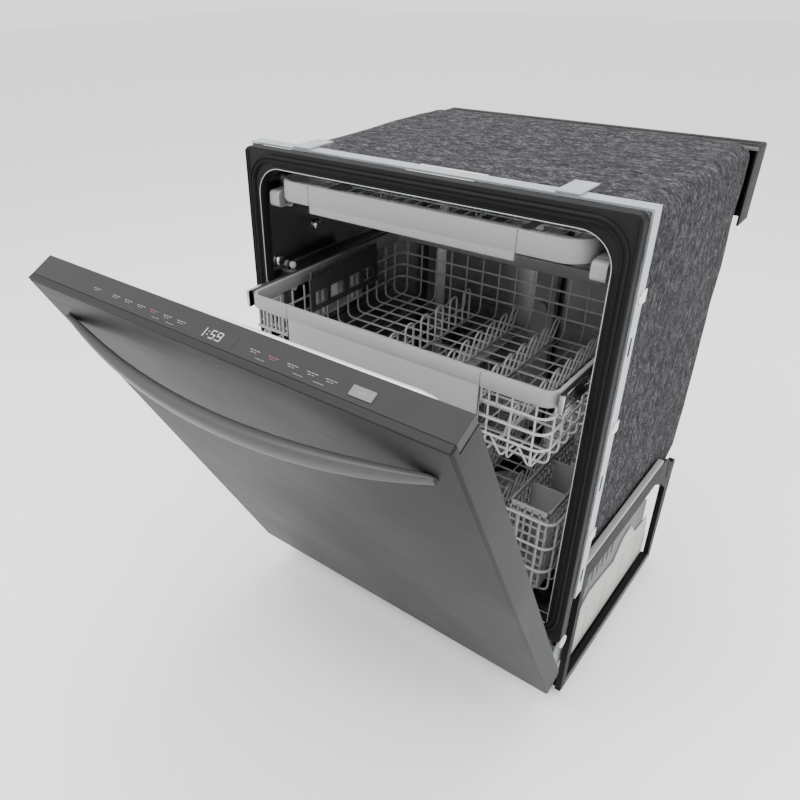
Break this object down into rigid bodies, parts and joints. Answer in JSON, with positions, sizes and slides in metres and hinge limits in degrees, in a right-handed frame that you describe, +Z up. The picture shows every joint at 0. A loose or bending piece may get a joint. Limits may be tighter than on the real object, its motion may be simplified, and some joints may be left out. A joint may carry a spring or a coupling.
{
  "type": "built-in dishwasher",
  "caption": "Built-in dishwasher with a felt-wrapped stainless tub, pull-down door with a bowed handle, sliding wire racks, cutlery tray and spray arms.",
  "frame": {"origin": "on the floor, under the middle of the machine with its door 28 degrees open, as stored", "axes": "+X to the right seen from the front, +Y to the back of the machine, +Z up"},
  "size_m": [0.6, 0.9463, 0.8165],
  "materials": {
    "dark_steel": "brushed, dark grey, smudge-resistant coat",
    "stainless": "bright brushed",
    "zinc_steel": "zinc plated",
    "black_plastic": "moulded, fine grain",
    "strip_plastic": "satin dark grey",
    "grey_plastic": "moulded, satin",
    "dark_grey_plastic": "moulded, satin",
    "pale_plastic": "moulded, matt",
    "white_plastic": "moulded, matt",
    "black_rubber": "soft, matt",
    "felt": "mottled needle felt",
    "coated_wire": "nylon coated wire",
    "pump_metal": "cast and painted"
  },
  "bodies": {
    "cabinet": {"tub_liner": "stainless", "front_frame": "black_plastic", "door_gasket": "black_rubber", "tub_flange": "zinc_steel", "sound_blanket": "felt", "rear_bumper": "black_plastic", "base_frame_left": "black_plastic", "base_frame_right": "black_plastic", "front_crossmember": "zinc_steel", "drip_pan": "pale_plastic", "hinge_bracket_left": "zinc_steel", "hinge_bracket_right": "zinc_steel", "door_spring_left": "zinc_steel", "door_spring_right": "zinc_steel", "sump": "dark_grey_plastic", "wash_pump": "pump_metal", "drain_pump": "pump_metal", "inlet_valve": "white_plastic", "water_manifold": "grey_plastic", "worktop_bracket_left": "zinc_steel", "worktop_bracket_right": "zinc_steel", "upper_guide_left": "stainless", "upper_guide_right": "stainless", "third_guide_left": "stainless", "third_guide_right": "stainless"},
    "door": {"door_outer_panel": "dark_steel", "door_inner_panel": "stainless", "control_strip": "strip_plastic", "door_handle": "dark_steel", "dispenser_body": "grey_plastic", "door_vent": "dark_grey_plastic", "hinge_arm_left": "zinc_steel", "hinge_arm_right": "zinc_steel"},
    "start_key": {"start_key": "grey_plastic"},
    "dispenser_lid": {"dispenser_lid": "dark_grey_plastic"},
    "rinse_cap": {"rinse_cap": "dark_grey_plastic"},
    "door_latch": {"door_latch": "zinc_steel"},
    "upper_rails": {"upper_rail_left": "stainless", "upper_rail_right": "stainless"},
    "upper_rack": {"upper_rack_basket": "coated_wire", "upper_rack_rim": "grey_plastic"},
    "cup_shelf": {"cup_shelf": "dark_grey_plastic"},
    "upper_tines": {"upper_tines": "coated_wire"},
    "upper_spray_arm": {"upper_spray_arm": "grey_plastic"},
    "third_rails": {"third_rail_left": "grey_plastic", "third_rail_right": "grey_plastic"},
    "third_rack": {"third_rack_tray": "grey_plastic"},
    "lower_rack": {"lower_rack_basket": "coated_wire"},
    "lower_tines": {"lower_tines": "coated_wire"},
    "cutlery_basket": {"cutlery_basket": "grey_plastic"},
    "lower_spray_arm": {"lower_spray_arm": "grey_plastic"},
    "filter_cup": {"filter_cup": "grey_plastic"},
    "rack_wheel_front_left": {"rack_wheel_front_left": "grey_plastic"},
    "leveling_leg_front_left": {"leveling_leg_front_left": "black_plastic"},
    "rack_wheel_front_right": {"rack_wheel_front_right": "grey_plastic"},
    "leveling_leg_front_right": {"leveling_leg_front_right": "black_plastic"},
    "rack_wheel_back_left": {"rack_wheel_back_left": "grey_plastic"},
    "leveling_leg_back_left": {"leveling_leg_back_left": "black_plastic"},
    "rack_wheel_back_right": {"rack_wheel_back_right": "grey_plastic"},
    "leveling_leg_back_right": {"leveling_leg_back_right": "black_plastic"}
  },
  "joints": [
    {"name": "door_hinge", "type": "hinge", "parent": "cabinet", "child": "door", "pos_m": [0, -0.0828, 0.0919], "axis": [1, 0, 0], "range_deg": [-28, 62]},
    {"name": "start_key_press", "type": "slide", "parent": "door", "child": "start_key", "axis": [0, 0.4695, -0.8829], "range_m": [0, 0.0008], "stiffness_N_per_m": 400},
    {"name": "dispenser_lid_hinge", "type": "hinge", "parent": "door", "child": "dispenser_lid", "pos_m": [-0.112, -0.2132, 0.40084], "axis": [0, -0.4695, 0.8829], "range_deg": [0, 100]},
    {"name": "rinse_cap_turn", "type": "hinge", "parent": "door", "child": "rinse_cap", "pos_m": [0.026, -0.214, 0.40042], "axis": [0, 0.8829, 0.4695], "range_deg": [0, 90]},
    {"name": "latch_pivot", "type": "hinge", "parent": "door", "child": "door_latch", "pos_m": [-0.0135, -0.38994, 0.6557], "axis": [1, 0, 0], "range_deg": [0, 9], "stiffness_Nm_per_rad": 0.4},
    {"name": "upper_rails_slide", "type": "slide", "parent": "cabinet", "child": "upper_rails", "axis": [0, -1, 0], "range_m": [-0.09999, 0.22134]},
    {"name": "upper_rack_slide", "type": "slide", "parent": "upper_rails", "child": "upper_rack", "axis": [0, -1, 0], "range_m": [0, 0.085]},
    {"name": "cup_shelf_fold", "type": "hinge", "parent": "upper_rack", "child": "cup_shelf", "pos_m": [-0.222, 0.0435, 0.547], "axis": [0, 1, 0], "range_deg": [0, 88]},
    {"name": "upper_tines_fold", "type": "hinge", "parent": "upper_rack", "child": "upper_tines", "pos_m": [-0.06, 0.0485, 0.4932], "axis": [0, 1, 0], "range_deg": [0, 80]},
    {"name": "upper_arm_spin", "type": "hinge", "parent": "upper_rack", "child": "upper_spray_arm", "pos_m": [0, 0.0485, 0.468], "axis": [0, 0, 1], "continuous": true},
    {"name": "third_rails_slide", "type": "slide", "parent": "cabinet", "child": "third_rails", "axis": [0, -1, 0], "range_m": [-0.04159, 0.09203]},
    {"name": "third_rack_slide", "type": "slide", "parent": "third_rails", "child": "third_rack", "axis": [0, -1, 0], "range_m": [0, 0.26]},
    {"name": "lower_rack_slide", "type": "slide", "parent": "cabinet", "child": "lower_rack", "axis": [0, -1, 0], "range_m": [-0.04892, 0.10826]},
    {"name": "lower_tines_fold", "type": "hinge", "parent": "lower_rack", "child": "lower_tines", "pos_m": [-0.0633, 0.1065, 0.2277], "axis": [0, 1, 0], "range_deg": [0, 80]},
    {"name": "cutlery_basket_lift", "type": "slide", "parent": "lower_rack", "child": "cutlery_basket", "axis": [0, 0, 1], "range_m": [0, 0.075]},
    {"name": "lower_arm_spin", "type": "hinge", "parent": "cabinet", "child": "lower_spray_arm", "pos_m": [0, 0.1665, 0.206], "axis": [0, 0, 1], "continuous": true},
    {"name": "filter_turn", "type": "hinge", "parent": "cabinet", "child": "filter_cup", "pos_m": [0.06, 0.1665, 0.16], "axis": [0, 0, 1], "range_deg": [0, 60]},
    {"name": "wheel_front_left_roll", "type": "hinge", "parent": "lower_rack", "child": "rack_wheel_front_left", "pos_m": [-0.2628, -0.0135, 0.2115], "axis": [1, 0, 0], "continuous": true},
    {"name": "wheel_front_right_roll", "type": "hinge", "parent": "lower_rack", "child": "rack_wheel_front_right", "pos_m": [0.2628, -0.0135, 0.2115], "axis": [1, 0, 0], "continuous": true},
    {"name": "wheel_back_left_roll", "type": "hinge", "parent": "lower_rack", "child": "rack_wheel_back_left", "pos_m": [-0.2628, 0.2365, 0.2115], "axis": [1, 0, 0], "continuous": true},
    {"name": "wheel_back_right_roll", "type": "hinge", "parent": "lower_rack", "child": "rack_wheel_back_right", "pos_m": [0.2628, 0.2365, 0.2115], "axis": [1, 0, 0], "continuous": true},
    {"name": "leg_front_left_screw", "type": "slide", "parent": "cabinet", "child": "leveling_leg_front_left", "axis": [0, 0, -1], "range_m": [0, 0.03]},
    {"name": "leg_front_right_screw", "type": "slide", "parent": "cabinet", "child": "leveling_leg_front_right", "axis": [0, 0, -1], "range_m": [0, 0.03]},
    {"name": "leg_back_left_screw", "type": "slide", "parent": "cabinet", "child": "leveling_leg_back_left", "axis": [0, 0, -1], "range_m": [0, 0.03]},
    {"name": "leg_back_right_screw", "type": "slide", "parent": "cabinet", "child": "leveling_leg_back_right", "axis": [0, 0, -1], "range_m": [0, 0.03]}
  ],
  "couplings": [
    {"joint": "upper_rails_slide", "follows": "door_hinge", "m_per_rad": 0.2045},
    {"joint": "third_rails_slide", "follows": "door_hinge", "m_per_rad": 0.085},
    {"joint": "lower_rack_slide", "follows": "door_hinge", "m_per_rad": 0.1}
  ]
}
